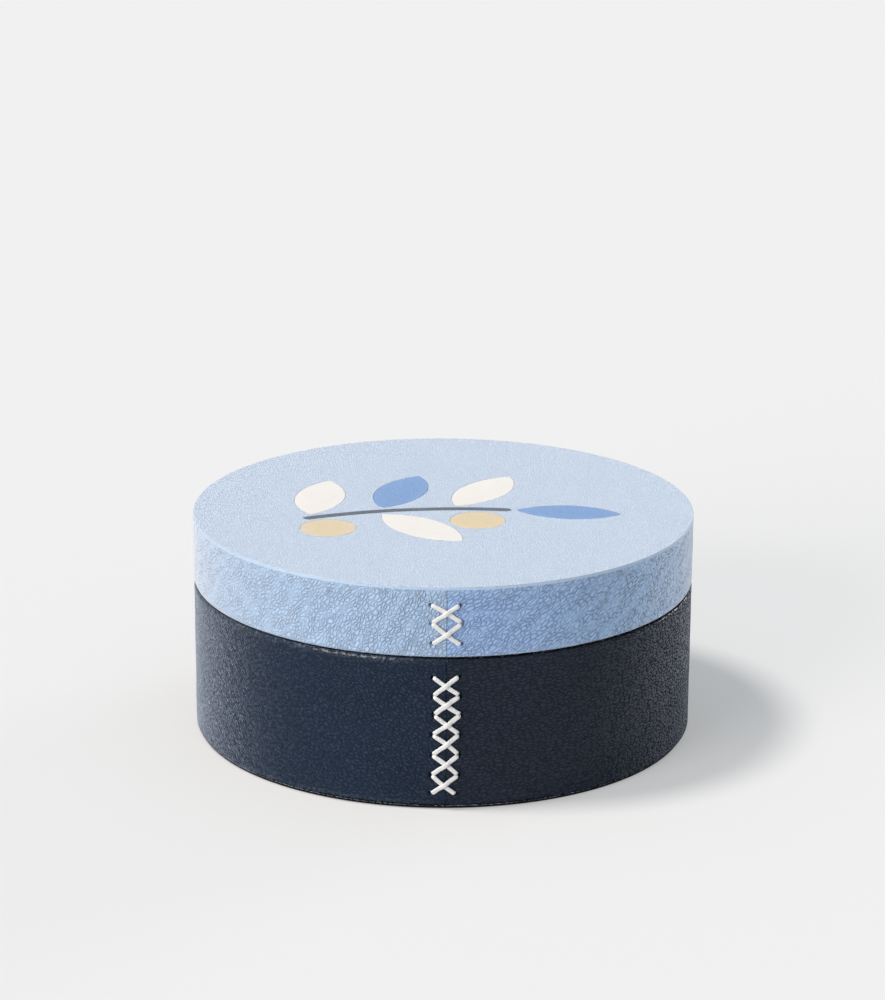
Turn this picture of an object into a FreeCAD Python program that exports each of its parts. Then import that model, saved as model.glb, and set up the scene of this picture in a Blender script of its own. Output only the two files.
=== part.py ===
import FreeCAD, Part
import os
from math import asin, cos, radians, sin, sqrt, tan

from FreeCAD import Vector

# A round leather box with a lift-off lid, in millimetres. +Z is up, the origin is on the table under
# the middle of the box, and the two laced seams are at the front, towards -Y.
# A board drum and a board cap are covered in leather. An inner neck ring, glued into the drum, stands
# above its rim, and the cap slides over that neck until the two rims meet.

# Overall sizes
outer_diameter = 200.0
base_height = 61.0
lid_height = 27.8

# Thicknesses of the sheet materials
side_leather = 1.3
top_leather = 1.2
rim_leather = 1.0
skived_leather = 0.6
suede = 0.5
wall_board = 2.5
floor_board = 3.0
top_board = 2.5
neck_board = 2.0
card = 1.0
bottom_panel = 1.0

# Fits between the pieces
glue_line = 0.05
lid_clearance = 0.3
panel_clearance = 0.2

# Turned margins of the covers, and how far the neck stands up
base_turn_under = 12.0
base_turn_in = 12.0
lid_turn_over = 12.0
lid_turn_in = 6.0
neck_height = 12.0
neck_skirt = 10.0
bottom_setback = 1.2

# Rounded edges
base_rim_round = 1.9
base_foot_round = 0.9
lid_rim_round = 0.9
lid_shoulder_round = 0.1
lid_top_round = 1.0
turned_edge_round = 0.3
neck_edge_round = 0.7

# Laced butt seams: strands crossed between two columns of punched holes
seam_slit = 0.2
cut_over = 1.0
hole_spacing = 9.2
stitch_pitch = 7.8
lacing_edge = 5.5
base_lacing_drop = 0.8
hole_pair = 1.2
hole_clearance = 0.15
lace_width = 1.6
lace_thickness = 0.85
lace_core = 0.8
lace_gap = 0.05
lace_taper = 1.1
lace_tail = 3.0
bend_inside = 0.12
loop_gap = 0.1
relief_margin = 1.6
relief_clearance = 0.15

# Inlaid sprig in the lid's top: a stem on an arc, pointed leaves along it and round berries
inlay_fit = 0.08
sprig_turn = 8.0
sprig_shift_x = -15.0
sprig_shift_y = -3.0
sprig_gap = 2.0
stem_curve = 150.0
stem_width = 4.0
stem_lead = 2.5
stem_tail = 11.0
back_leaves = 3
leaf_length = 47.0
leaf_width = 20.0
leaf_lean = 60.0
leaf_spacing = 5.0
end_leaf_scale = 0.9
berry_radius = 11.0
berry_spacing = 8.0

# Radii of the wall's layers, from the outside in
outer_radius = outer_diameter / 2
board_outer = outer_radius - side_leather - glue_line
board_inner = board_outer - wall_board
lid_inner = board_inner - glue_line - suede
neck_outer = lid_inner - lid_clearance
neck_board_outer = neck_outer - suede - glue_line
neck_board_inner = neck_board_outer - neck_board
inside_radius = neck_board_inner - glue_line - suede

# Heights of the base's layers, from the table up
base_cover_bottom = bottom_panel
floor_bottom = base_cover_bottom + skived_leather
floor_top = floor_bottom + floor_board
pad_top = floor_top + card + suede
rim_height = base_height
neck_top = rim_height + neck_height

# Heights of the lid's layers, from the top down
total_height = base_height + lid_height
top_leather_seat = total_height - top_leather
lid_board_top = top_leather_seat - skived_leather
lid_board_bottom = lid_board_top - top_board
ceiling_height = lid_board_bottom - card - suede

# The lacing's rows and heights, and the plane that its strands cross in
seam_half = hole_spacing / 2
hole_radius = lace_core / 2 + hole_clearance
lace_bend = lace_core / 2 + bend_inside
under_height = lace_thickness / 2 + lace_gap
leather_inner = outer_radius - side_leather
seam_drop = leather_inner - sqrt(leather_inner**2 - (seam_half + lace_core / 2) ** 2)
loop_depth = side_leather + seam_drop + loop_gap + lace_core / 2
relief_radius = outer_radius - loop_depth - lace_core / 2 - relief_clearance

# The sprig's places, as runs along the stem from its left end
leaf_pitch = (leaf_width + leaf_spacing) / sin(radians(leaf_lean))
berry_reach = (leaf_width / 2 + berry_spacing + berry_radius) / sin(radians(leaf_lean))
berry_runs = [stem_lead, stem_lead + 2 * berry_reach]
front_leaf_run = stem_lead + berry_reach - berry_radius / tan(radians(leaf_lean))
back_leaf_runs = [stem_lead + leaf_pitch * i for i in range(back_leaves)]
stem_length = max(berry_runs[-1], back_leaf_runs[-1]) + stem_tail

up = Vector(0, 0, 1)
outwards = Vector(0, -1, 0)


# Outlines

def rounded_wire(corners, closed=True):
    """Straight runs joined by tangent arcs. Each corner is a point and its radius, 0 for a sharp one."""
    count = len(corners)
    trims = []
    for i, (point, radius) in enumerate(corners):
        open_end = not closed and i in (0, count - 1)
        if radius == 0 or open_end:
            trims.append((point, None, point))
            continue
        back = (corners[i - 1][0] - point).normalize()
        ahead = (corners[(i + 1) % count][0] - point).normalize()
        half = back.getAngle(ahead) / 2
        reach = radius / tan(half)
        middle = point + (back + ahead).normalize() * (radius / sin(half) - radius)
        trims.append((point + back * reach, middle, point + ahead * reach))
    edges = []
    for i in range(count):
        start, middle, end = trims[i]
        if middle is not None:
            edges.append(Part.Arc(start, middle, end).toShape())
        if i == count - 1 and not closed:
            break
        following = trims[(i + 1) % count][0]
        if (following - end).Length > 1e-6:
            edges.append(Part.LineSegment(end, following).toShape())
    return Part.Wire(edges)


def turned(profile):
    """A solid of revolution about Z from (radius, height, corner rounding) points."""
    corners = [(Vector(radius, 0, height), rounding) for radius, height, rounding in profile]
    return Part.Face(rounded_wire(corners)).revolve(Vector(), up, 360)


def disc(radius, bottom, top):
    return Part.makeCylinder(radius, top - bottom, Vector(0, 0, bottom))


def ring(inner, outer, bottom, top):
    return turned([(inner, bottom, 0), (outer, bottom, 0), (outer, top, 0), (inner, top, 0)])


# Laced seams

def lacing_rows(middle, height):
    """Heights of the rows of holes from the top down: as many whole crosses as the wall has room for."""
    crosses = int((height - 2 * lacing_edge) // stitch_pitch)
    return [middle + stitch_pitch * (crosses / 2 - i) for i in range(crosses + 1)]


base_rows = lacing_rows(base_height / 2 - base_lacing_drop, base_height)
lid_rows = lacing_rows(rim_height + lid_height / 2, lid_height)


def row_offset(rows, i):
    """Half the distance between a row's two holes on one side. The first and last rows have one hole."""
    return 0 if i in (0, len(rows) - 1) else hole_pair / 2


def hole_heights(rows):
    for i, height in enumerate(rows):
        offset = row_offset(rows, i)
        yield from {height - offset, height + offset}


def punched_seam(cover, rows):
    """A leather cover with its butt joint slit and its lacing holes punched at the front."""
    slit_depth = outer_radius - board_inner + max(base_turn_under, lid_turn_over)
    slit = Part.makeBox(
        seam_slit,
        slit_depth + cut_over,
        total_height,
        Vector(-seam_slit / 2, -outer_radius - cut_over, 0),
    )
    holes = [
        Part.makeCylinder(
            hole_radius,
            cut_over + outer_radius - relief_radius,
            Vector(side * seam_half, -outer_radius - cut_over, height),
            -outwards,
        )
        for side in (-1, 1)
        for height in hole_heights(rows)
    ]
    return cover.cut([slit] + holes)


def seam_relief(rows):
    """The shallow pocket in a wall board that takes the lacing's loops behind the leather."""
    half_width = seam_half + relief_margin
    bottom = rows[-1] - relief_margin
    return Part.makeBox(
        2 * half_width,
        outer_radius - relief_radius,
        rows[0] + relief_margin - bottom,
        Vector(-half_width, -outer_radius, bottom),
    )


def seam_point(x, height, out):
    """A point in front of the seam: out is its distance outside the leather, negative behind it."""
    return Vector(x, -outer_radius - out, height)


def six_edge_section(points):
    """A closed wire through 12 points: 6 corners with a point on each edge's middle between them."""
    edges = []
    for i in range(0, 12, 2):
        start, middle, end = points[i], points[i + 1], points[(i + 2) % 12]
        straight = ((start + end) * 0.5 - middle).Length < 1e-6
        edge = Part.LineSegment(start, end) if straight else Part.Arc(start, middle, end)
        edges.append(edge.toShape())
    return Part.Wire(edges)


def flat_section(centre, across, over):
    """The lace's flattened section: two straight sides and two round edges, each in two arcs."""
    round_edge = lace_thickness / 2
    flat = (lace_width - lace_thickness) / 2
    points = []
    for side, first in ((1, 90), (-1, 270)):
        for step in range(5):
            turn = radians(first - 45 * step)
            points.append(
                centre
                + across * (side * flat + round_edge * cos(turn))
                + over * (round_edge * sin(turn))
            )
        points.append(centre - over * (side * round_edge))
    return six_edge_section(points)


def round_section(centre, across, over):
    """The lace where it is drawn together to pass a hole, in six arcs that match its flat section."""
    radius = lace_core / 2
    turns = [radians(60 - 30 * i) for i in range(12)]
    return six_edge_section(
        [centre + across * (radius * cos(t)) + over * (radius * sin(t)) for t in turns]
    )


def hump(at, first, last, low, high):
    """Four equal tangent arcs that rise from low to high half way along and come down again."""
    half = (last - first) / 2
    rise = high - low
    radius = (half**2 + rise**2) / (4 * rise)
    half_turn = asin(half / (2 * radius)) / 2
    step = radius * sin(half_turn)
    bow = radius * (1 - cos(half_turn))
    middle = (first + last) / 2
    knots = [
        (first, low),
        (first + step, low + bow),
        (first + half / 2, low + rise / 2),
        (middle - step, high - bow),
        (middle, high),
        (middle + step, high - bow),
        (last - half / 2, low + rise / 2),
        (last - step, low + bow),
        (last, low),
    ]
    points = [at(distance, out) for distance, out in knots]
    return Part.Wire([Part.Arc(*points[i : i + 3]).toShape() for i in range(0, 8, 2)])


def strand(start, end, over):
    """One visible strand from hole to hole, flat in its middle and drawn together at both ends."""
    along = end - start
    length = along.Length
    spread = abs(along.x / along.z)
    along.normalize()
    across = outwards.cross(along)

    def at(distance, out):
        return start + along * distance + outwards * out

    first = lace_bend + lace_taper
    last = length - first
    solids = [
        Part.makeLoft(
            [
                round_section(at(tip, under_height), across, outwards),
                flat_section(at(root, under_height), across, outwards),
            ],
            True,
            True,
        )
        for tip, root in ((lace_bend, first), (length - lace_bend, last))
    ]
    begin = flat_section(at(first, under_height), across, outwards)
    if over:
        # The crest clears the flat of the strand below it, out to where that flat ends
        flat_end = (lace_width - lace_thickness) / 2 * spread
        lift = lace_thickness + lace_gap
        sag = 2 * lift * (2 * flat_end / (last - first)) ** 2
        path = hump(at, first, last, under_height, under_height + lift + sag)
        solids.append(path.makePipeShell([begin], True, False))
    else:
        solids.append(Part.Face(begin).extrude(along * (last - first)))
    return solids


def loop(corners):
    """The drawn-together lace along a route of corners, bending at each by its radius."""
    path = rounded_wire(corners, closed=False)
    start = corners[0][0]
    heading = (corners[1][0] - start).normalize()
    section = Part.Wire(Part.Circle(start, heading, lace_core / 2).toShape())
    return path.makePipeShell([section], True, False)


def lacing(rows):
    """One lace: from the top row's back run both ends cross down the seam, through paired holes."""
    last = len(rows) - 1
    solids = []
    for i in range(last):
        upper = rows[i] - row_offset(rows, i)
        lower = rows[i + 1] + row_offset(rows, i + 1)
        for side, over in ((-1, False), (1, True)):
            start = seam_point(side * seam_half, upper, 0)
            end = seam_point(-side * seam_half, lower, 0)
            solids += strand(start, end, over)

    def strand_tip(side, height, other_height):
        """Where a strand that leaves the hole at this side and height becomes round."""
        hole = seam_point(side * seam_half, height, under_height)
        other = seam_point(-side * seam_half, other_height, under_height)
        return hole + (other - hole).normalize() * lace_bend

    def through(side, height):
        """The lace's two corners at a hole: outside the leather and behind it."""
        outside = (seam_point(side * seam_half, height, under_height), lace_bend)
        behind = (seam_point(side * seam_half, height, -loop_depth), lace_bend)
        return outside, behind

    below_top = rows[1] + row_offset(rows, 1)
    top_left, top_left_behind = through(-1, rows[0])
    top_right, top_right_behind = through(1, rows[0])
    solids.append(
        loop(
            [
                (strand_tip(-1, rows[0], below_top), 0),
                top_left,
                top_left_behind,
                top_right_behind,
                top_right,
                (strand_tip(1, rows[0], below_top), 0),
            ]
        )
    )
    for side in (-1, 1):
        for i in range(1, last):
            high = rows[i] + row_offset(rows, i)
            low = rows[i] - row_offset(rows, i)
            upper, upper_behind = through(side, high)
            lower, lower_behind = through(side, low)
            from_above = strand_tip(side, high, rows[i - 1] - row_offset(rows, i - 1))
            to_below = strand_tip(side, low, rows[i + 1] + row_offset(rows, i + 1))
            solids.append(
                loop([(from_above, 0), upper, upper_behind, lower_behind, lower, (to_below, 0)])
            )
        outside, behind = through(side, rows[last])
        from_above = strand_tip(side, rows[last], rows[last - 1] - row_offset(rows, last - 1))
        tail_end = seam_point(side * (seam_half - lace_tail), rows[last], -loop_depth)
        solids.append(loop([(from_above, 0), outside, behind, (tail_end, 0)]))
    return solids[0].multiFuse(solids[1:]).removeSplitter()


# Base

def base_bottom_panel():
    return disc(outer_radius - bottom_setback, 0, base_cover_bottom)


def base_infill_card():
    """Levels the underside inside the turned-under margin of the side leather."""
    return disc(outer_radius - base_turn_under - glue_line, base_cover_bottom, floor_bottom)


def base_floor_board():
    return disc(board_inner - glue_line, floor_bottom, floor_top)


def base_wall_board():
    return ring(board_inner, board_outer, floor_bottom, rim_height - rim_leather).cut(seam_relief(base_rows))


def base_side_leather():
    """The drum's cover: under the floor's edge, up the wall, over the rim and down behind it."""
    under_inner = outer_radius - base_turn_under
    turn_in_inner = neck_outer + glue_line
    turn_in_outer = board_inner - glue_line
    turn_in_end = rim_height - base_turn_in
    profile = [
        (under_inner, base_cover_bottom, 0),
        (outer_radius, base_cover_bottom, base_foot_round),
        (outer_radius, rim_height, base_rim_round),
        (turn_in_inner, rim_height, turned_edge_round),
        (turn_in_inner, turn_in_end, 0),
        (turn_in_outer, turn_in_end, 0),
        (turn_in_outer, rim_height - rim_leather, 0),
        (leather_inner, rim_height - rim_leather, 0),
        (leather_inner, floor_bottom, 0),
        (under_inner, floor_bottom, 0),
    ]
    return punched_seam(turned(profile), base_rows)


def neck_ring_board():
    """Stands on the floor. Its top edges are eased for the lining."""
    top = neck_top - suede
    return turned(
        [
            (neck_board_inner, floor_top, 0),
            (neck_board_outer, floor_top, 0),
            (neck_board_outer, top, neck_edge_round),
            (neck_board_inner, top, neck_edge_round),
        ]
    )


def neck_lining():
    """One suede sleeve: up the neck's outside from below the rim, over its top and down to the floor."""
    skirt_end = rim_height - neck_skirt
    under_top = neck_top - suede
    inner_face = inside_radius + suede
    outer_face = neck_outer - suede
    outer_round = neck_edge_round + suede
    return turned(
        [
            (neck_outer, skirt_end, 0),
            (neck_outer, neck_top, outer_round),
            (inside_radius, neck_top, outer_round),
            (inside_radius, floor_top, 0),
            (inner_face, floor_top, 0),
            (inner_face, under_top, neck_edge_round),
            (outer_face, under_top, neck_edge_round),
            (outer_face, skirt_end, 0),
        ]
    )


def covered_card_radius(opening):
    return opening - panel_clearance - suede - glue_line


def floor_pad_card():
    return disc(covered_card_radius(inside_radius), floor_top, floor_top + card)


def floor_pad_suede():
    """Covers the pad's card on top and round its edge."""
    edge = inside_radius - panel_clearance
    return turned(
        [
            (0, floor_top + card, 0),
            (edge - suede, floor_top + card, 0),
            (edge - suede, floor_top, 0),
            (edge, floor_top, 0),
            (edge, pad_top, suede),
            (0, pad_top, 0),
        ]
    )


# Lid

def lid_wall_board():
    wall = ring(board_inner, board_outer, rim_height + rim_leather, lid_board_bottom)
    return wall.cut(seam_relief(lid_rows))


def lid_top_board():
    return disc(board_outer, lid_board_bottom, lid_board_top)


def lid_infill_card():
    """Levels the top inside the turned-over margin of the side leather."""
    return disc(outer_radius - lid_turn_over - glue_line, lid_board_top, top_leather_seat)


def lid_side_leather():
    """The cap's cover: over the top board's edge, down the wall, under the rim and up inside it."""
    over_inner = outer_radius - lid_turn_over
    turn_in_outer = board_inner - glue_line
    turn_in_end = rim_height + lid_turn_in
    profile = [
        (over_inner, top_leather_seat, 0),
        (over_inner, lid_board_top, 0),
        (leather_inner, lid_board_top, 0),
        (leather_inner, rim_height + rim_leather, 0),
        (turn_in_outer, rim_height + rim_leather, 0),
        (turn_in_outer, turn_in_end, 0),
        (lid_inner, turn_in_end, 0),
        (lid_inner, rim_height, turned_edge_round),
        (outer_radius, rim_height, lid_rim_round),
        (outer_radius, top_leather_seat, lid_shoulder_round),
    ]
    return punched_seam(turned(profile), lid_rows)


def lid_wall_lining():
    return ring(lid_inner, board_inner - glue_line, rim_height + lid_turn_in, lid_board_bottom)


def lid_ceiling_card():
    return disc(covered_card_radius(lid_inner), lid_board_bottom - card, lid_board_bottom)


def lid_ceiling_suede():
    """Covers the ceiling's card underneath and round its edge."""
    edge = lid_inner - panel_clearance
    return turned(
        [
            (0, ceiling_height, 0),
            (edge, ceiling_height, suede),
            (edge, lid_board_bottom, 0),
            (edge - suede, lid_board_bottom, 0),
            (edge - suede, lid_board_bottom - card, 0),
            (0, lid_board_bottom - card, 0),
        ]
    )


def lid_top_leather():
    """The top disc with a window for every inlaid piece."""
    cover = turned(
        [
            (0, top_leather_seat, 0),
            (outer_radius, top_leather_seat, 0),
            (outer_radius, total_height, lid_top_round),
            (0, total_height, 0),
        ]
    )
    return cover.cut([inlaid(face) for face in inlay_faces(inlay_fit).values()])


# Inlay

def stem_point(run, offset):
    """A point beside the stem, at a run along it from its left end, and the stem's heading there."""
    turn = radians(90) + (stem_length / 2 - run) / stem_curve
    away = Vector(cos(turn), sin(turn), 0)
    heading = Vector(sin(turn), -cos(turn), 0)
    return away * (stem_curve + offset) - Vector(0, stem_curve, 0), heading


def stem_face(grow):
    """A band along the stem's arc with round ends."""
    half = stem_width / 2 + grow
    edges = []
    for side, begin, end in ((1, 0, stem_length), (-1, stem_length, 0)):
        runs = (begin, stem_length / 2, end)
        edges.append(Part.Arc(*[stem_point(run, side * half)[0] for run in runs]).toShape())
        centre, heading = stem_point(end, 0)
        corners = [stem_point(end, offset)[0] for offset in (side * half, -side * half)]
        nose = centre + heading * (side * half)
        edges.append(Part.Arc(corners[0], nose, corners[1]).toShape())
    return Part.Face(Part.Wire(edges))


def leaf_face(root, axis, scale, grow):
    """Two arcs that meet in a point at each end, from a root along an axis."""
    half_length = leaf_length * scale / 2
    half_width = leaf_width * scale / 2
    arc_radius = (half_length**2 + half_width**2) / (2 * half_width)
    tip = axis * sqrt((arc_radius + grow) ** 2 - (arc_radius - half_width) ** 2)
    bulge = up.cross(axis) * (half_width + grow)
    middle = root + axis * half_length
    near = Part.Arc(middle - tip, middle + bulge, middle + tip).toShape()
    far = Part.Arc(middle + tip, middle - bulge, middle - tip).toShape()
    return Part.Face(Part.Wire([near, far]))


def side_leaf(run, side, grow):
    """A leaf that leans along the stem on its back (+1) or front (-1) side."""
    root, heading = stem_point(run, side * (stem_width / 2 + sprig_gap))
    axis = FreeCAD.Rotation(up, side * leaf_lean).multVec(heading)
    return leaf_face(root, axis, 1, grow)


def end_leaf(grow):
    """The leaf past the stem's right end, in line with it."""
    centre, heading = stem_point(stem_length, 0)
    return leaf_face(centre + heading * (stem_width / 2 + sprig_gap), heading, end_leaf_scale, grow)


def berry_face(run, grow):
    centre, _ = stem_point(run, -(stem_width / 2 + sprig_gap + berry_radius))
    return Part.Face(Part.Wire(Part.Circle(centre, up, berry_radius + grow).toShape()))


def inlay_faces(grow):
    """Every inlaid piece's outline by its node's name, larger all round by grow."""
    leaves = [side_leaf(run, 1, grow) for run in back_leaf_runs]
    leaves += [side_leaf(front_leaf_run, -1, grow), end_leaf(grow)]
    faces = {"inlay_stem": stem_face(grow)}
    faces.update({f"inlay_leaf_{i}": face for i, face in enumerate(leaves, 1)})
    faces.update({f"inlay_berry_{i}": berry_face(run, grow) for i, run in enumerate(berry_runs, 1)})
    return faces


def inlaid(face):
    """An outline turned and shifted to its place on the lid, as thick as the top leather."""
    solid = face.extrude(up * top_leather)
    solid.rotate(Vector(), up, sprig_turn)
    solid.translate(Vector(sprig_shift_x, sprig_shift_y, top_leather_seat))
    return solid


pieces = {
    "base_bottom_panel": base_bottom_panel(),
    "base_infill_card": base_infill_card(),
    "base_floor_board": base_floor_board(),
    "base_wall_board": base_wall_board(),
    "base_side_leather": base_side_leather(),
    "base_lacing": lacing(base_rows),
    "neck_ring_board": neck_ring_board(),
    "neck_lining": neck_lining(),
    "floor_pad_card": floor_pad_card(),
    "floor_pad_suede": floor_pad_suede(),
    "lid_wall_board": lid_wall_board(),
    "lid_top_board": lid_top_board(),
    "lid_infill_card": lid_infill_card(),
    "lid_side_leather": lid_side_leather(),
    "lid_lacing": lacing(lid_rows),
    "lid_wall_lining": lid_wall_lining(),
    "lid_ceiling_card": lid_ceiling_card(),
    "lid_ceiling_suede": lid_ceiling_suede(),
    "lid_top_leather": lid_top_leather(),
}
pieces.update({name: inlaid(face) for name, face in inlay_faces(0).items()})

os.makedirs("parts", exist_ok=True)
for name, shape in pieces.items():
    shape.exportStep(f"parts/{name}.step")
    print(name, len(shape.Solids), shape.isValid(), round(shape.Volume, 2))
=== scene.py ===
from math import pi, radians

import bpy
import numpy as np
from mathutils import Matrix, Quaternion, Vector, geometry


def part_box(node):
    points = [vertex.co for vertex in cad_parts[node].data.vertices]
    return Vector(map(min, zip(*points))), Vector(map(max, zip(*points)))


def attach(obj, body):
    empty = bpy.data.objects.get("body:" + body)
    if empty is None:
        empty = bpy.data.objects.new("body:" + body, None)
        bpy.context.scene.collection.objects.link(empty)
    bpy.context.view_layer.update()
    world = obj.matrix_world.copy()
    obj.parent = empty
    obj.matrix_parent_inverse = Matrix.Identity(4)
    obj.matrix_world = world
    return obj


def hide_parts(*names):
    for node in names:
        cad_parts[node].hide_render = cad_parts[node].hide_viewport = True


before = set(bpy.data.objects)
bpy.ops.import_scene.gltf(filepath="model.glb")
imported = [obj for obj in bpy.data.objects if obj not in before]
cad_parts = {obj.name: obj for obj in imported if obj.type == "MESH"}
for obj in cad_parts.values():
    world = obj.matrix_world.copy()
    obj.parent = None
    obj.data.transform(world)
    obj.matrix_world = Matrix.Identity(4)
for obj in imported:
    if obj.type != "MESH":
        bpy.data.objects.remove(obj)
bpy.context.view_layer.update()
mm = 0.001
print("frame loaded:", len(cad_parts), "nodes")


class Values(dict):
    # a dictionary whose values are also read by name, as in size.width
    __getattr__ = dict.__getitem__


# Shader maths

class Wire:
    # one socket of a material; + - * on it add Math nodes
    def __init__(self, tree, socket=None):
        self.tree = tree
        self.socket = socket

    def node(self, kind, settings, sockets, out=0):
        made = self.tree.nodes.new("ShaderNode" + kind)
        for key, value in settings.items():
            setattr(made, key, value)
        for key, value in sockets.items():
            if isinstance(value, Wire):
                self.tree.links.new(value.socket, made.inputs[key])
            else:
                made.inputs[key].default_value = value
        return Wire(self.tree, made.outputs[out] if made.outputs else None)

    def maths(self, operation, first, second):
        return self.node("Math", {"operation": operation}, {0: first, 1: second})

    def __add__(self, other):
        return self.maths("ADD", self, other)

    def __sub__(self, other):
        return self.maths("SUBTRACT", self, other)

    def __rsub__(self, other):
        return self.maths("SUBTRACT", other, self)

    def __mul__(self, other):
        return self.maths("MULTIPLY", self, other)

    __radd__ = __add__
    __rmul__ = __mul__

    def ramp(self, low, high, start=0.0, end=1.0):
        # smooth step: start below low, end above high
        sockets = {"Value": self, "From Min": low, "From Max": high, "To Min": start, "To Max": end}
        return self.node("MapRange", {"interpolation_type": "SMOOTHSTEP"}, sockets)

    def blend(self, first, second):
        # colour mix: first where this wire is 0, second where it is 1
        return self.node("Mix", {"data_type": "RGBA"}, {0: self, 6: first, 7: second}, out=2)

    def noise(self, scale, detail, out="Fac"):
        # clouds of values about 0.5 over this place, scale of them to a metre
        return self.node("TexNoise", {}, {"Vector": self, "Scale": scale, "Detail": detail}, out)

    def cells(self, scale):
        # distance from the edges of irregular flat cells over this place
        flat = {"voronoi_dimensions": "2D", "feature": "DISTANCE_TO_EDGE"}
        return self.node("TexVoronoi", flat, {"Vector": self, "Scale": scale}, "Distance")

    def drawn(self, stretch, turn=0.0):
        # this place turned and stretched, so that a texture over it is drawn out
        sockets = {"Vector": self, "Rotation": (0, 0, radians(turn)), "Scale": stretch}
        return self.node("Mapping", {"vector_type": "TEXTURE"}, sockets)

    def bump(self, depth):
        # a normal, with this wire as the height and depth as the height of 1
        return self.node("Bump", {}, {"Strength": 1.0, "Distance": depth, "Height": self})


def screenColour(red, green, blue):
    # screen values 0-255 to the linear colour that a shader takes
    level = np.array((red, green, blue)) / 255
    linear = np.where(level <= 0.04045, level / 12.92, ((level + 0.055) / 1.055) ** 2.4)
    return (*map(float, linear), 1.0)


def newMaterial(name, coordinates=None):
    # an empty material and a wire of it: the place on its surface, where coordinates are asked for
    material = bpy.data.materials.new(name)
    material.use_nodes = True
    material.node_tree.nodes.clear()
    w = Wire(material.node_tree)
    return material, w.node("TexCoord", {}, {}, out=coordinates) if coordinates else w


def finished(material, shader):
    shader.node("OutputMaterial", {}, {"Surface": shader})
    return material


# Leather

grain = Values(  # how many of each texture go to a pebble, where it turns, and its share of the height
    drift=0.4, finer=2.1, pores=3, gather=0.7, fade=0.3, gathered=(0.3, 0.7), opening=(0.6, 1.4),
    faded=(0.36, 0.6), finerRound=0.25, domeShare=0.65, edgeShare=0.6, finerShare=0.1, poreShare=0.25,
)
hide = Values(  # how many of each texture go to a metre, where it turns, and what it does to the skin
    patches=45.0, patchTurn=(0.3, 0.7), patchRough=0.08, flecks=420.0, fleckTurn=(0.35, 0.65),
    specks=800.0, speckTurn=(0.44, 0.58), wornLow=0.35, wornDome=0.65, pitRough=0.3, coatRough=0.15,
)
wax = {
    "Specular IOR Level": 0.5,
    "Coat Weight": 1.0,
    "Coat IOR": 1.8,
    "Coat Roughness": 0.3,
    "Sheen Weight": 0.0,
}


def pebbleGrain(place, look, side):
    # cells turned to the hide's slant and drawn out along it, warped so that no row of them is straight;
    # each is a dome that falls to a narrow valley, with smaller cells and fine pores on it
    pebble = look.pebble
    slanted = place.drawn((look.stretch[side], 1, 1), look.slant[side])
    drift = slanted.noise(grain.drift / pebble, 2.0, "Color")
    centred = place.node("VectorMath", {"operation": "SUBTRACT"}, {0: drift, 1: (0.5, 0.5, 0.5)})
    reach = (look.warp * pebble,) * 3
    warped = place.node("VectorMath", {"operation": "MULTIPLY_ADD"}, {0: centred, 1: reach, 2: slanted})
    edge = warped.cells(1 / pebble)
    finer = warped.cells(grain.finer / pebble).ramp(0.0, grain.finerRound)
    pores = warped.noise(grain.pores / pebble, 2.0)
    narrow, wide = (share * look.crease[side] for share in grain.opening)
    crease = slanted.noise(grain.gather / pebble, 1.0).ramp(*grain.gathered, narrow, wide)
    fade = slanted.noise(grain.fade / pebble, 2.0).ramp(*grain.faded, look.fade, 1.0)
    dome = 1 - (1 - edge.ramp(0.0, crease)) * fade  # valleys open, close and fade along the hide
    height = dome * grain.domeShare + edge * grain.edgeShare
    return dome, height + finer * grain.finerShare + pores * grain.poreShare


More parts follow.
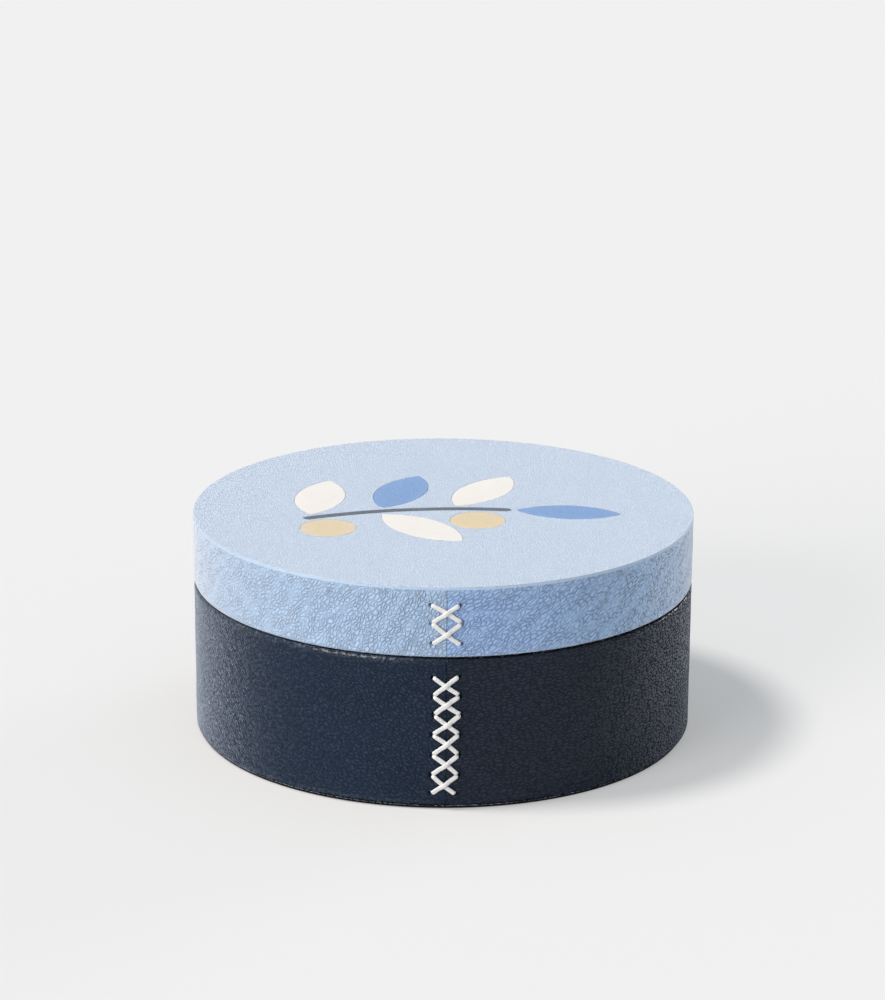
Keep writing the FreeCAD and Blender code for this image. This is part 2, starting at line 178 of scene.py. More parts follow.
def leatherMaterial(name, look, coordinates):
    material, place = newMaterial(name, coordinates)
    twoSided = len(look.slant) > 1

    def shade(key):
        return screenColour(*look[key])

    def varied(key):
        # a value that changes over the hide: far from the seam on its right, on its left,
        # and close by on its right
        if not twoSided:
            return look[key][0]
        far, onLeft, close = look[key]
        right = along.ramp(*look.fromSeam, close, far)
        return right + left * (onLeft - right)

    dome, height = pebbleGrain(place, look, 0)
    if twoSided:  # the hide's grain changes from the right of the seam to the left of it
        along = place.node("SeparateXYZ", {}, {0: place}, out="X")
        left = along.ramp(*look.turnOver)
        leftDome, leftHeight = pebbleGrain(place, look, 1)
        dome = dome + left * (leftDome - dome)
        height = height + left * (leftHeight - height)
    patches = place.noise(hide.patches, 4.0).ramp(*hide.patchTurn)
    flecks = place.noise(hide.flecks, 2.0).ramp(*hide.fleckTurn)
    wearGlint, cutAndShade = (place.node("Attribute", {"attribute_name": key}, {}, out="Fac") for key in ("wearGlint", "cutAndShade"))
    face = patches.blend(shade("face"), shade("patch"))
    # painted shade: the far right of the lid's hide, where less light falls, is tinted a cooler blue
    if look.coolShare:
        face = varied("coolShare").blend(face, shade("rightShadeBlue"))
    # painted shade: the valleys between the pebbles are darkened towards the darker valley colour, as shade
    # falls in them
    shadedGrain = (1 - (1 - dome) * varied("valleyShadeDepth")).blend(shade("valleyShade"), face)
    if twoSided:  # painted shade: the hide's right side, where less light falls, is darkened towards the deep colour
        shadedGrain = varied("unshadedShare").blend(shade("deep"), shadedGrain)
    flecked = (flecks * look.fleck).blend(shadedGrain, shade("wearGlintColour"))
    onDomes = hide.wornLow + hide.wornDome * dome
    # worn edges take a lighter colour; on the base's rim this is kept to where the highlight falls, so there
    # it is also a painted highlight
    worn = (wearGlint * onDomes * look.wear).blend(flecked, shade("wearGlintColour"))
    rough = look.rough + hide.patchRough * patches + look.matt * (1 - dome)
    relief = height * (1 - look.edgeFlat * wearGlint)  # cut edges are pressed smooth
    skin = {
        # the darkest colour goes where holes, the slit, the creases round the holes, the groove under the lid
        # and the foot are painted in shade; in the holes and on the inlays' sides it is also the dark cut
        # edge
        "Base Color": cutAndShade.blend(worn, shade("cutAndShadeColour")),
        "Roughness": rough - look.polish * wearGlint + hide.pitRough * cutAndShade,
        "Normal": relief.bump(look.depth),
        "Specular IOR Level": look.specular,
        "Coat Weight": look.coat * (1 - (1 - dome) * varied("coatDepth")) * (1 - cutAndShade),
        "Coat Roughness": hide.coatRough,
        "Coat IOR": look.coatIndex,
        "Sheen Weight": look.sheen,
        "Sheen Roughness": look.sheenRough,
        "Sheen Tint": shade("sheenTint"),
    }
    shader = place.node("BsdfPrincipled", {}, skin)
    if look.dullValley:  # only the domes are glazed, and most where they turn away
        dull = place.node("BsdfPrincipled", {}, {**skin, "Coat Weight": 0.0, "Sheen Weight": 0.0})
        facing = place.node("LayerWeight", {}, {"Blend": 0.5}, out="Facing")
        grazing = facing.ramp(*look.glazeTurn, look.glaze, 1.0)
        glazed = (1 - (1 - dome) * varied("dullValley")) * grazing * varied("gloss")
        shader = place.node("MixShader", {}, {0: glazed, 1: dull, 2: shader})
    if look.edgeWax:  # folded edges are burnished: a second, glossier skin comes through in specks there
        burnished = place.node("BsdfPrincipled", {}, {**skin, **wax})
        specks = place.noise(hide.specks, 1.0).ramp(*hide.speckTurn)
        shown = wearGlint * specks * varied("edgeWax")
        shader = place.node("MixShader", {}, {0: shown, 1: shader, 2: burnished})
    return finished(material, shader)


# painted light in these looks: the darker valley colour, the darkened and cooled right side of the hide, the
# near-black colour under the lid, and the worn colour on the base rim's lit front left
navyLook = Values(  # pairs: right and left of the seam; threes: far on the right, left, close by on the right
    face=(30, 44, 63), patch=(33, 48, 68), valleyShade=(14, 21, 32), wearGlintColour=(74, 86, 104), cutAndShadeColour=(3, 4, 7),
    pebble=1.15 * mm, slant=(8, -32), turnOver=(0.2, 0.42), stretch=(2.2, 1.9), warp=1.7,
    crease=(0.3, 0.4), depth=0.4 * mm, valleyShadeDepth=(0.95, 0.35, 0.4), fade=0.9, fromSeam=(0.04, 0.12),
    unshadedShare=(0.62, 1.0, 0.62), deep=(3, 4, 6), coolShare=None, fleck=0.03, wear=0.3, edgeFlat=0.0,
    rough=0.38, matt=0.35, polish=0.16, specular=0.05, sheen=1.0, sheenRough=0.24, sheenTint=(214, 230, 255),
    coat=1.0, coatIndex=1.6, coatDepth=(1.0, 1.0, 0.75), dullValley=(1.0, 0.1, 0.0), gloss=(0.5, 1.0, 0.9),
    glaze=0.38, glazeTurn=(0.2, 0.6), edgeWax=(0.0, 1.0, 0.0),
)
blueLook = Values(
    face=(163, 195, 230), patch=(167, 198, 232), valleyShade=(46, 78, 130), wearGlintColour=(190, 208, 230),
    cutAndShadeColour=(38, 58, 76), pebble=1.2 * mm, slant=(34, 58), turnOver=(0.2, 0.42), stretch=(2.3, 1.8), warp=1.7,
    crease=(0.25, 0.25), depth=0.62 * mm, valleyShadeDepth=(0.85, 0.32, 0.5), fade=0.5, fromSeam=(0.015, 0.09),
    unshadedShare=(1.0, 1.0, 0.7), deep=(70, 140, 235), coolShare=(0.9, 0.0, 0.0), rightShadeBlue=(136, 192, 241),
    fleck=0.06, wear=0.5, edgeFlat=0.0, rough=0.45, matt=0.15, polish=0.1, specular=0.6,
    sheen=0.65, sheenRough=0.6, sheenTint=(250, 252, 255), coat=1.0, coatIndex=1.55,
    coatDepth=(1.0, 1.0, 1.0), dullValley=None, edgeWax=None,
)
# painted light: the top is the sides' blue leather, given a paler colour for the stronger light that falls on
# it
paleLitTopLook = Values(
    blueLook, face=(217, 229, 244), patch=(221, 232, 247), valleyShade=(191, 208, 228), wearGlintColour=(176, 202, 230),
    pebble=1.0 * mm, slant=(20,), stretch=(1.25,), crease=(0.4,), depth=0.36 * mm, valleyShadeDepth=(0.85,),
    fade=1.0, coolShare=None, fleck=0.0, wear=1.0, edgeFlat=1.0, sheen=0.1, sheenRough=0.4, coat=0.0,
)
inlayLook = Values(paleLitTopLook, wear=0.1, fleck=0.08)
creamLook = Values(
    inlayLook, face=(238, 232, 224), patch=(241, 236, 229), valleyShade=(226, 219, 209), wearGlintColour=(248, 245, 240),
    cutAndShadeColour=(150, 140, 128), pebble=0.7 * mm, slant=(65,), depth=0.05 * mm, valleyShadeDepth=(0.5,),
)
sandLook = Values(
    creamLook, face=(222, 202, 164), patch=(226, 207, 171), valleyShade=(206, 185, 146), wearGlintColour=(236, 222, 192),
    cutAndShadeColour=(120, 102, 74), slant=(-30,),
)
midBlueLook = Values(
    inlayLook, face=(118, 156, 205), patch=(124, 161, 209), valleyShade=(102, 140, 190), wearGlintColour=(160, 187, 226),
    cutAndShadeColour=(40, 58, 92), slant=(-48,), depth=0.12 * mm,
)
slateLook = Values(
    inlayLook, face=(70, 82, 98), patch=(76, 88, 104), valleyShade=(50, 61, 76), wearGlintColour=(120, 130, 143),
    cutAndShadeColour=(20, 24, 30), slant=(75,), depth=0.14 * mm,
)
leathers = {
    "navy": leatherMaterial("navyPebbledLeather", navyLook, "UV"),
    "blue": leatherMaterial("bluePebbledLeather", blueLook, "UV"),
    "top": leatherMaterial("paleLitTopLeather", paleLitTopLook, "Object"),
    "cream": leatherMaterial("creamInlayLeather", creamLook, "Object"),
    "sand": leatherMaterial("sandInlayLeather", sandLook, "Object"),
    "midBlue": leatherMaterial("midBlueInlayLeather", midBlueLook, "Object"),
    "slate": leatherMaterial("slateInlayLeather", slateLook, "Object"),
}


# Lace, suede and boards

laceLook = Values(  # textures to a metre
    face=(243, 243, 242), faded=(237, 237, 236), shadow=(212, 210, 206), dirt=(206, 197, 182), dirtShare=0.14,
    fibres=5200.0, stretch=(1, 9, 1), creases=900.0, tints=130.0, depth=0.07 * mm, rough=0.5,
)
suedeLook = Values(
    face=(44, 56, 78), brushed=(58, 71, 94), deep=(24, 32, 47),
    tufts=2600.0, strokes=95.0, stretch=(2.5, 1, 1.4), depth=0.12 * mm, rough=0.85,
)
pulp = Values(clouds=60.0, fibres=1500.0, stretch=(6, 1, 1.5), grit=700.0, depth=0.05 * mm)


def bumped(material, skin, relief, depth):
    # the material's shader, with a relief of this depth on it
    return finished(material, relief.node("BsdfPrincipled", {}, {**skin, "Normal": relief.bump(depth)}))


def laceMaterial(name, look):
    # a waxed lace: fibres run along it, a little dirt lies in its creases
    material, place = newMaterial(name, "UV")
    fibres = place.drawn(look.stretch).noise(look.fibres, 3.0).ramp(0.3, 0.7)
    creases = place.noise(look.creases, 3.0).ramp(0.35, 0.7)
    tint = place.noise(look.tints, 2.0).ramp(0.3, 0.7)
    clean = tint.blend(screenColour(*look.face), screenColour(*look.faded))
    fibred = (0.6 + 0.4 * fibres).blend(screenColour(*look.shadow), clean)
    skin = {
        "Base Color": (creases * look.dirtShare).blend(fibred, screenColour(*look.dirt)),
        "Roughness": look.rough + 0.15 * creases,
        "Specular IOR Level": 0.4,
        "Sheen Weight": 0.1,
    }
    return bumped(material, skin, fibres * 0.6 + creases * 0.7, look.depth)


def suedeMaterial(name, look):
    # short nap: fine tufts, and broad patches where a hand has brushed it the other way
    material, place = newMaterial(name, "Object")
    tufts = place.noise(look.tufts, 4.0).ramp(0.3, 0.7)
    strokes = place.drawn(look.stretch).noise(look.strokes, 3.0).ramp(0.4, 0.62)
    nap = strokes.blend(screenColour(*look.face), screenColour(*look.brushed))
    skin = {
        "Base Color": (0.35 + 0.65 * tufts).blend(screenColour(*look.deep), nap),
        "Roughness": look.rough + 0.1 * strokes,
        "Specular IOR Level": 0.15,
        "Sheen Weight": 0.35,
        "Sheen Roughness": 0.4,
    }
    return bumped(material, skin, tufts + strokes * 0.3, look.depth)


def boardMaterial(name, face, fibre, grit, rough):
    # pressed pulp: long pale fibres, dark grit and soft clouds
    material, place = newMaterial(name, "Object")
    clouds = place.noise(pulp.clouds, 5.0).ramp(0.3, 0.7)
    fibres = place.drawn(pulp.stretch).noise(pulp.fibres, 3.0).ramp(0.55, 0.7)
    specks = place.node("TexVoronoi", {}, {"Vector": place, "Scale": pulp.grit}, out="Distance")
    pale = clouds.blend(screenColour(*face), screenColour(*fibre))
    fibred = (fibres * 0.6).blend(pale, screenColour(*fibre))
    skin = {
        "Base Color": (specks.ramp(0.1, 0.2, 1.0, 0.0) * 0.7).blend(fibred, screenColour(*grit)),
        "Roughness": rough + 0.1 * clouds,
        "Specular IOR Level": 0.2,
    }
    return bumped(material, skin, fibres + clouds * 0.5, pulp.depth)


lace = laceMaterial("waxedLace", laceLook)
suede = suedeMaterial("navySuede", suedeLook)
greyBoard = boardMaterial("greyBoard", (150, 144, 133), (176, 170, 158), (88, 82, 74), 0.8)
whiteCard = boardMaterial("whiteCard", (214, 209, 198), (228, 224, 215), (168, 160, 146), 0.75)
# painted shadow: the bottom panel is made near black so the line under the base reads as a contact shadow;
# the panel is dark of itself as well
underPanelShade = boardMaterial("underPanel", (11, 12, 15), (18, 19, 23), (6, 7, 9), 0.85)
print("materials:", len(bpy.data.materials))


# Surfaces

def gridQuads(rows, columns, loopRows=False, loopColumns=False):
    # corner numbers of the quads of a grid of points, row after row, closed in either direction
    r, c = np.meshgrid(
        np.arange(rows - (not loopRows)), np.arange(columns - (not loopColumns)), indexing="ij"
    )
    below = (r + 1) % rows
    beside = (c + 1) % columns
    quads = [r * columns + c, r * columns + beside, below * columns + beside, below * columns + c]
    return np.stack(quads, -1).reshape(-1, 4)


def cappedSkin(shape, u, v, ends, **loops):
    # faces and UVs of a grid of points closed one way, with a face over each end
    chart = np.stack(np.meshgrid(u, v), -1).reshape(-1, 2)
    faces = [gridQuads(*shape, **loops)] + [end[None] for end in ends]
    corners = [chart[gridQuads(len(v), len(u))]] + [chart[end][None] for end in ends]
    return faces, corners


def outwardVolume(points, faces):
    # signed volume of a closed skin: negative when its faces look inwards
    total = 0.0
    for face in faces:
        for i in range(1, face.shape[1] - 1):
            crossed = np.cross(points[face[:, i]], points[face[:, i + 1]])
            total += np.einsum("ij,ij->", points[face[:, 0]], crossed)
    return total


def addPiece(name, points, faces, corners, material, rides, node, paint=None):
    # points in metres; faces are index arrays, corners their UVs; paint holds one value per point
    if outwardVolume(points, faces) < 0:
        faces = [face[:, ::-1] for face in faces]
        corners = [uv[:, ::-1] for uv in corners]
    sides = np.concatenate([np.full(len(face), face.shape[1]) for face in faces])
    mesh = bpy.data.meshes.new(name)
    mesh.vertices.add(len(points))
    mesh.vertices.foreach_set("co", points.astype(np.float32).ravel())
    mesh.loops.add(int(sides.sum()))
    mesh.loops.foreach_set("vertex_index", np.concatenate([face.ravel() for face in faces]).astype(np.int32))
    mesh.polygons.add(len(sides))
    mesh.polygons.foreach_set("loop_start", (np.cumsum(sides) - sides).astype(np.int32))
    mesh.update(calc_edges=True)
    mesh.uv_layers.new(name="leatherMap")
    flat = np.concatenate([uv.reshape(-1, 2) for uv in corners]).astype(np.float32)
    mesh.uv_layers[0].data.foreach_set("uv", flat.ravel())
    for key, values in (paint or {}).items():
        layer = mesh.attributes.new(key, "FLOAT", "POINT")
        layer.data.foreach_set("value", values.astype(np.float32).ravel())
    mesh.polygons.foreach_set("use_smooth", np.ones(len(sides), bool))
    mesh.set_sharp_from_angle(angle=radians(50))
    mesh.validate()
    mesh.materials.append(material)
    piece = bpy.data.objects.new(name, mesh)
    bpy.context.scene.collection.objects.link(piece)
    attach(piece, rides)
    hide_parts(node)
    print(name, len(points), "points,", int((sides - 2).sum()), "triangles")
    return piece


def smooth(low, high, value):
    # smooth step from 0 below low to 1 above high
    t = np.clip((value - low) / (high - low), 0, 1)
    return t * t * (3 - 2 * t)


def bell(value):
    # 1 at 0, falling off on both sides: e to the power of minus the square
    return np.exp(-(value**2))


def size(vectors):
    return np.linalg.norm(vectors, axis=-1)


def unit(vectors):
    return vectors / size(vectors)[..., None]


def angles(count):
    return np.arange(count) * 2 * pi / count


def compass(angle):
    return np.stack([np.cos(angle), np.sin(angle)], -1)


def aboutAxis(radius, angle, height):
    # points round the box's axis; the angle runs from the front towards the right
    return np.stack(np.broadcast_arrays(radius * np.sin(angle), -radius * np.cos(angle), height), -1)


def runLength(points):
    # how far along a line each of its points is
    return np.concatenate([[0], np.cumsum(size(np.diff(points, axis=0)))])


def ripple(u, v, wave, seed, count=8):
    # soft unevenness between -1 and 1: a sum of waves in seeded directions, wave long on average
    rng = np.random.default_rng(seed)
    turn = rng.uniform(0, 2 * pi, count)
    long = wave * rng.uniform(0.6, 1.7, count)
    start = rng.uniform(0, 2 * pi, count)
    u = np.asarray(u)[..., None]
    v = np.asarray(v)[..., None]
    return np.sin(2 * pi * (u * np.cos(turn) + v * np.sin(turn)) / long + start).sum(-1) / count * 1.6


def roundedSection(corners, bendPoints=9):
    # a closed section of straight runs and tangent arcs; a corner is
    # (radius, height, rounding, longest step along the run that follows)
    spots = np.array([corner[:2] for corner in corners], float)
    ahead = unit(np.roll(spots, -1, 0) - spots)
    back = -np.roll(ahead, 1, 0)
    bends = []
    for spot, toNext, toLast, (_, _, rounding, _) in zip(spots, ahead, back, corners):
        if not rounding:
            bends.append(spot[None])
            continue
        half = np.arccos(toNext @ toLast) / 2
        middle = spot + unit(toNext + toLast) * rounding / np.sin(half)
        first = spot + toLast * rounding / np.tan(half) - middle
        last = spot + toNext * rounding / np.tan(half) - middle
        start = np.arctan2(first[1], first[0])
        turn = (np.arctan2(last[1], last[0]) - start + pi) % (2 * pi) - pi
        bends.append(middle + rounding * compass(start + turn * np.linspace(0, 1, bendPoints)))
    pieces = []
    for i, corner in enumerate(corners):
        begin = bends[i][-1]
        end = bends[(i + 1) % len(corners)][0]
        count = max(1, int(np.ceil(size(end - begin) / corner[3])))
        share = np.linspace(0, 1, count + 1)[1:-1, None]
        pieces += [bends[i], begin + (end - begin) * share]
    return np.concatenate(pieces)


# Laced seams

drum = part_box("base_side_leather")
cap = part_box("lid_side_leather")
outerRadius = drum[1].x / mm
rimHeight = drum[1].z / mm
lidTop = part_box("lid_top_leather")[1].z / mm
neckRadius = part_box("neck_lining")[1].x / mm
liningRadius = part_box("lid_wall_lining")[1].x / mm

seam = Values(  # millimetres, as the CAD's seams, and how far a hand-pricked hole is out of line
    holeSpacing=9.2, pitch=7.8, edge=5.5, drop=0.8, holePair=0.9, slit=0.1, edgeRound=0.16,
    outAcross=0.1, outUp=0.08, lineDark=0.34, lineWidth=0.22,
)
hole = Values(long=0.95, high=0.66, out=0.5, depth=1.1, wall=(0.75, 1.2), dark=(0.6, 1.05))
dent = Values(depth=0.14, width=1.1, welt=0.35, weltAway=2.0, weltWidth=0.8)  # under each strand
pucker = Values(  # millimetres; the fan in radians
    count=5, fan=1.2, depth=0.3, strength=(0.4, 1.0), start=(0.6, 1.3), whole=0.9, fade=(1.2, 2.6),
    least=0.8, narrow=0.34, dark=0.5, darkLeft=0.3,
)
creases = Values(
    depth=0.1, left=0.45, away=9.5, spread=4.5, start=(5.6, 8.0), wave=2.7, sway=2.6, swayWave=9.0,
)
sheet = Values(  # millimetres: steps round the box, unevenness, rims that run up and down, worn folds (lighter, and on the base's lit front left a painted highlight)
    fine=0.24, coarse=3.6, growth=1.22, dense=34, skin=3, uneven=0.05, wave=19.0, shortWave=6.0,
    shortShare=0.5, ease=14, rimLift=0.035, rimReach=2.0, rimWave=23.0, fold=0.82, foldSpread=0.16,
    foldReach=2.5, rubLevel=0.75, rubSwing=0.4, rubWave=7.0,
)
laceSize = Values(  # millimetres
    width=1.78, thick=0.85, core=0.8, low=0.44, lift=0.92, hump=2.9, bend=0.55, depth=1.5, loop=0.5,
    tail=3.0, bow=0.22, step=0.2, around=20, square=0.82, shown=0.25, bare=(-0.5, 0.35), soften=7,
    uneven=0.1, wave=11.0, fineUneven=0.05, fineWave=2.4,
)


def lacingRows(middle, height):
    # heights of the rows of holes, from the top down
    crosses = int((height - 2 * seam.edge) // seam.pitch)
    return middle + seam.pitch * (crosses / 2 - np.arange(crosses + 1))


def lacingHoles(rows, lean, shift, seed, stray):
    # (left or right, row, upper or lower hole, across and height), each a little out of line;
    # the whole lacing stands aside by shift, leans by that much from its top to its bottom row,
    # and strays at each row as a hand-pricked one does
    rng = np.random.default_rng(seed)
    count = len(rows)
    holes = np.zeros((2, count, 2, 2))
    offset = np.full(count, seam.holePair / 2)
    offset[[0, -1]] = 0
    across = shift + lean * (0.5 - np.arange(count) / (count - 1))
    for s, side in enumerate((-1, 1)):
        middle = side * seam.holeSpacing / 2 + across
        holes[s, :, :, 0] = (middle + rng.normal(0, seam.outAcross, count))[:, None]
        holes[s, :, 0, 1] = rows + offset + rng.normal(0, seam.outUp, count)
        holes[s, :, 1, 1] = rows - offset + rng.normal(0, seam.outUp, count)
    holes[:, [0, -1], 0] = holes[:, [0, -1], 1]
    return holes + np.array(stray)[:, :, None]


def seamRelief(across, height, holes, seed):
    # how far the leather stands out beside its seam, and how dark it is painted there:
    # rounded cut edges, punched holes, a dent under each strand, creases that run out from the holes; the
    # dark is painted shade in the holes, the slit and the creases, over the holes' dark cut walls
    rng = np.random.default_rng(seed)
    across, height = np.broadcast_arrays(across, height)
    beside = np.abs(across)
    rounding = seam.edgeRound
    gap = np.clip(beside - seam.slit / 2, 0, rounding)
    out = np.sqrt(np.maximum(0, rounding**2 - (rounding - gap) ** 2)) - rounding
    for row in range(holes.shape[1] - 1):
        for s in (0, 1):
            start = holes[s, row, 1]
            run = holes[1 - s, row + 1, 0] - start
            along = (across - start[0]) * run[0] + (height - start[1]) * run[1]
            share = np.clip(along / (run @ run), 0, 1)
            away = np.hypot(across - start[0] - share * run[0], height - start[1] - share * run[1])
            out -= dent.depth * bell(away / dent.width)
            out += dent.welt * dent.depth * bell((away - dent.weltAway) / dent.weltWidth)
    # painted shade along the slit between the two edges of the seam
    cutAndShade = seam.lineDark * bell(across / seam.lineWidth)
    for x, z in np.unique(holes.reshape(-1, 2), axis=0):
        dx = (across - x) * np.sign(x)
        dz = height - z
        ring = np.hypot((dx - hole.out) / hole.long, dz / hole.high)
        # painted shade inside each hole, over its dark cut wall
        cutAndShade = np.maximum(cutAndShade, 1 - smooth(*hole.dark, ring))
        out -= hole.depth * (1 - smooth(*hole.wall, ring))
        away = np.hypot(dx, dz)
        angle = np.arctan2(dz, dx)
        for lobe in rng.uniform(-pucker.fan, pucker.fan, pucker.count):
            fade = np.exp(-np.maximum(0, away - pucker.whole) / rng.uniform(*pucker.fade))
            fade *= smooth(*pucker.start, away)
            aside = np.sin((angle - lobe) / 2) * 2 * np.maximum(away, pucker.least)
            pull = rng.uniform(*pucker.strength) * fade * bell(aside / pucker.narrow)
            out -= pucker.depth * pull
            # painted shade in the creases round the holes, stronger on the right
            cutAndShade = np.maximum(cutAndShade, pucker.dark * pull * np.where(across > 0, 1.0, pucker.darkLeft))
    creased = bell((beside - creases.away) / creases.spread) * smooth(*creases.start, beside)
    sway = creases.sway * ripple(across, height, creases.swayWave, seed + 5)
    wavy = np.maximum(0, np.sin(2 * pi * height / creases.wave + sway)) ** 2
    out -= creases.depth * creased * wavy * np.where(across > 0, 1.0, creases.left)
    return out, cutAndShade


def seamColumns():
    # distances along the leather from one edge of the seam right round to the other: fine steps
    # beside the seam that open out, step by step, to coarse ones at the back
    half = pi * outerRadius
    opened = sheet.growth ** np.maximum(0, np.arange(400) - sheet.dense)
    steps = np.minimum(sheet.coarse, sheet.fine * opened)
    run = seam.slit / 2 + np.concatenate([[0], np.cumsum(steps)])
    run = run[run < half - sheet.coarse / 2]
    return np.concatenate([run, [half], 2 * half - run[::-1]])


def sideLeather(name, section, holes, rims, seed, material, rides, node, dark=None):
    # the section carried round the axis from one edge of the seam to the other, its outer face raised
    # and sunk by the seam's relief and by a soft unevenness; both ends are closed by the section itself
    columns = seamColumns()
    along = columns[None]
    ahead = unit(np.roll(section, -1, 0) - np.roll(section, 1, 0))
    if (section[:, 0] * ahead[:, 1]).sum() < 0:
        ahead = -ahead
    facing = ahead[:, 1:]  # how much of the outward normal is radial
    radius = section[:, :1]
    height = section[:, 1:]
    wall = np.clip(facing, 0, 1) ** 2 * (radius > outerRadius - sheet.skin)
    across = np.where(along > pi * outerRadius, along - 2 * pi * outerRadius, along)
    relief, cutAndShade = seamRelief(across, height, holes, seed)
    soft = ripple(along, height, sheet.wave, seed + 1)
    soft += sheet.shortShare * ripple(along, height, sheet.shortWave, seed + 2)
    ease = smooth(0, sheet.ease, np.abs(across))  # the ripple is the same on both sides of the seam
    out = wall * (relief + sheet.uneven * soft * ease)
    lift = np.zeros_like(out)
    for level, sign in rims:  # the rims run a little up and down
        near = bell((height - level) / sheet.rimReach)
        swing = 1 + ripple(along, 0 * along, sheet.rimWave, seed + 3)
        lift += sign * sheet.rimLift * near * swing * ease
    points = aboutAxis(radius + out, along / outerRadius, height + lift) * mm
    length = runLength(np.concatenate([section, section[:1]]))
    firsts = np.arange(len(section)) * len(columns)
    ends = [firsts, firsts[::-1] + len(columns) - 1]
    faces, corners = cappedSkin(out.shape, columns * mm, length * mm, ends, loopRows=True)
    wearGlint = np.zeros_like(out)
    for level, _ in rims:
        fold = bell((facing - sheet.fold) / sheet.foldSpread)
        wearGlint = np.maximum(wearGlint, fold * (np.abs(height - level) < sheet.foldReach) * (wall > 0))
    swing = sheet.rubLevel + sheet.rubSwing * ripple(along, height, sheet.rubWave, seed + 4)
    wearGlint = np.clip(wearGlint * swing, 0, 1)
    paintedShadow = 0
    if dark:  # painted shadow: black under the lid, more so on the right, and along the foot; the worn rim keeps its lighter colour only on the front left, where the highlight falls, a painted highlight
        turn = np.degrees(across / outerRadius)
        right = smooth(*dark.right, turn)
        # painted highlight: the rim's lighter worn colour and its burnished specks are kept to the front
        # left, where the lamps' highlight falls
        wearGlint *= smooth(*dark.worn, turn) * (1 - right)
        under = 1 - smooth(*dark.groove, facing)
        under = under + right * (1 - smooth(*dark.joint, facing) - under)
        under = under * (np.abs(height - rimHeight) < sheet.foldReach)
        paintedShadow = dark.depth * np.maximum(under, 1 - smooth(*dark.foot, height))
    paint = {"wearGlint": wearGlint * (1 - paintedShadow), "cutAndShade": np.maximum(cutAndShade * wall, paintedShadow * (wall > 0))}
    return addPiece(name, points.reshape(-1, 3), faces, corners, material, rides, node, paint)


baseRows = lacingRows(rimHeight / 2 - seam.drop, rimHeight)
lidRows = lacingRows((rimHeight + lidTop) / 2, lidTop - rimHeight)
baseStray = [  # across and height, row by row, left then right
    [(-0.37, 0.0), (0.37, 0.55), (0.63, 0.55), (0.37, 0.55), (0.37, 0.18), (0.26, -0.1), (0.37, 0.4)],
    [(-0.74, 0.18), (-0.18, 0.74), (0.48, 0.85), (0.07, 0.85), (0.0, 0.37), (-0.11, -0.1), (-0.55, 0.18)],
]
lidStray = [
    [(-0.42, -0.84), (0.0, -0.1), (0.21, -0.53)],
    [(-0.1, -1.2), (0.8, -0.21), (0.8, -0.8)],
]
baseHoles = lacingHoles(baseRows, lean=0.9, shift=-0.35, seed=3, stray=baseStray)
lidHoles = lacingHoles(lidRows, lean=0.2, shift=-0.4, seed=8, stray=lidStray)

cover = Values(  # millimetres, the leathers' thicknesses and turned margins
    thick=1.3, turned=0.6, rim=1.0, margin=12.0, lidTurnIn=6.0, suede=0.5, glue=0.05, wallStep=0.28,
)


def baseSection():
    inner = outerRadius - cover.thick
    under = outerRadius - cover.margin
    foot = drum[0].z / mm
    board = foot + cover.turned
    hem = neckRadius + cover.glue
    return roundedSection([
        (under, foot, 0.1, 2.0),
        (outerRadius, foot, 0.9, cover.wallStep),
        (outerRadius, rimHeight, 1.9, 0.5),
        (hem, rimHeight, 0.3, 1.5),
        (hem, rimHeight - cover.margin, 0.1, 0.4),
        (liningRadius, rimHeight - cover.margin, 0.1, 1.5),
        (liningRadius, rimHeight - cover.rim, 0, 1.5),
        (inner, rimHeight - cover.rim, 0, 4.0),
        (inner, board, 0, 3.0),
        (under, board, 0.1, 0.4),
    ])


def lidSection():
    inner = outerRadius - cover.thick
    over = outerRadius - cover.margin
    shoulder = cap[1].z / mm
    board = shoulder - cover.turned
    hem = liningRadius - cover.suede
    return roundedSection([
        (over, shoulder, 0.1, 0.4),
        (over, board, 0.1, 3.0),
        (inner, board, 0, 3.0),
        (inner, rimHeight + cover.rim, 0, 1.5),
        (liningRadius, rimHeight + cover.rim, 0, 1.5),
        (liningRadius, rimHeight + cover.lidTurnIn, 0.1, 0.4),
        (hem, rimHeight + cover.lidTurnIn, 0.1, 1.0),
        (hem, rimHeight, 0.3, 0.5),
        (outerRadius, rimHeight, 1.1, cover.wallStep),
        (outerRadius, shoulder, 0.08, 1.5),
    ])


# painted shadow: how black the groove under the lid and the foot are painted, and where
baseDark = Values(  # degrees from the seam, share of the normal that is radial, millimetres up from the table
    depth=0.97, right=(-14, 4), worn=(-85, -58), groove=(0.42, 0.6), joint=(0.72, 0.9), foot=(1.8, 2.3),
)
sideLeather(
    "baseSideLeather", baseSection(), baseHoles, [(rimHeight, -1), (drum[0].z / mm, 0)], 21,
    leathers["navy"], "base", "base_side_leather", baseDark,
)
sideLeather(
    "lidSideLeather", lidSection(), lidHoles, [(rimHeight, 1), (cap[1].z / mm, 0)], 31,
    leathers["blue"], "lid", "lid_side_leather",
)


# Lacing

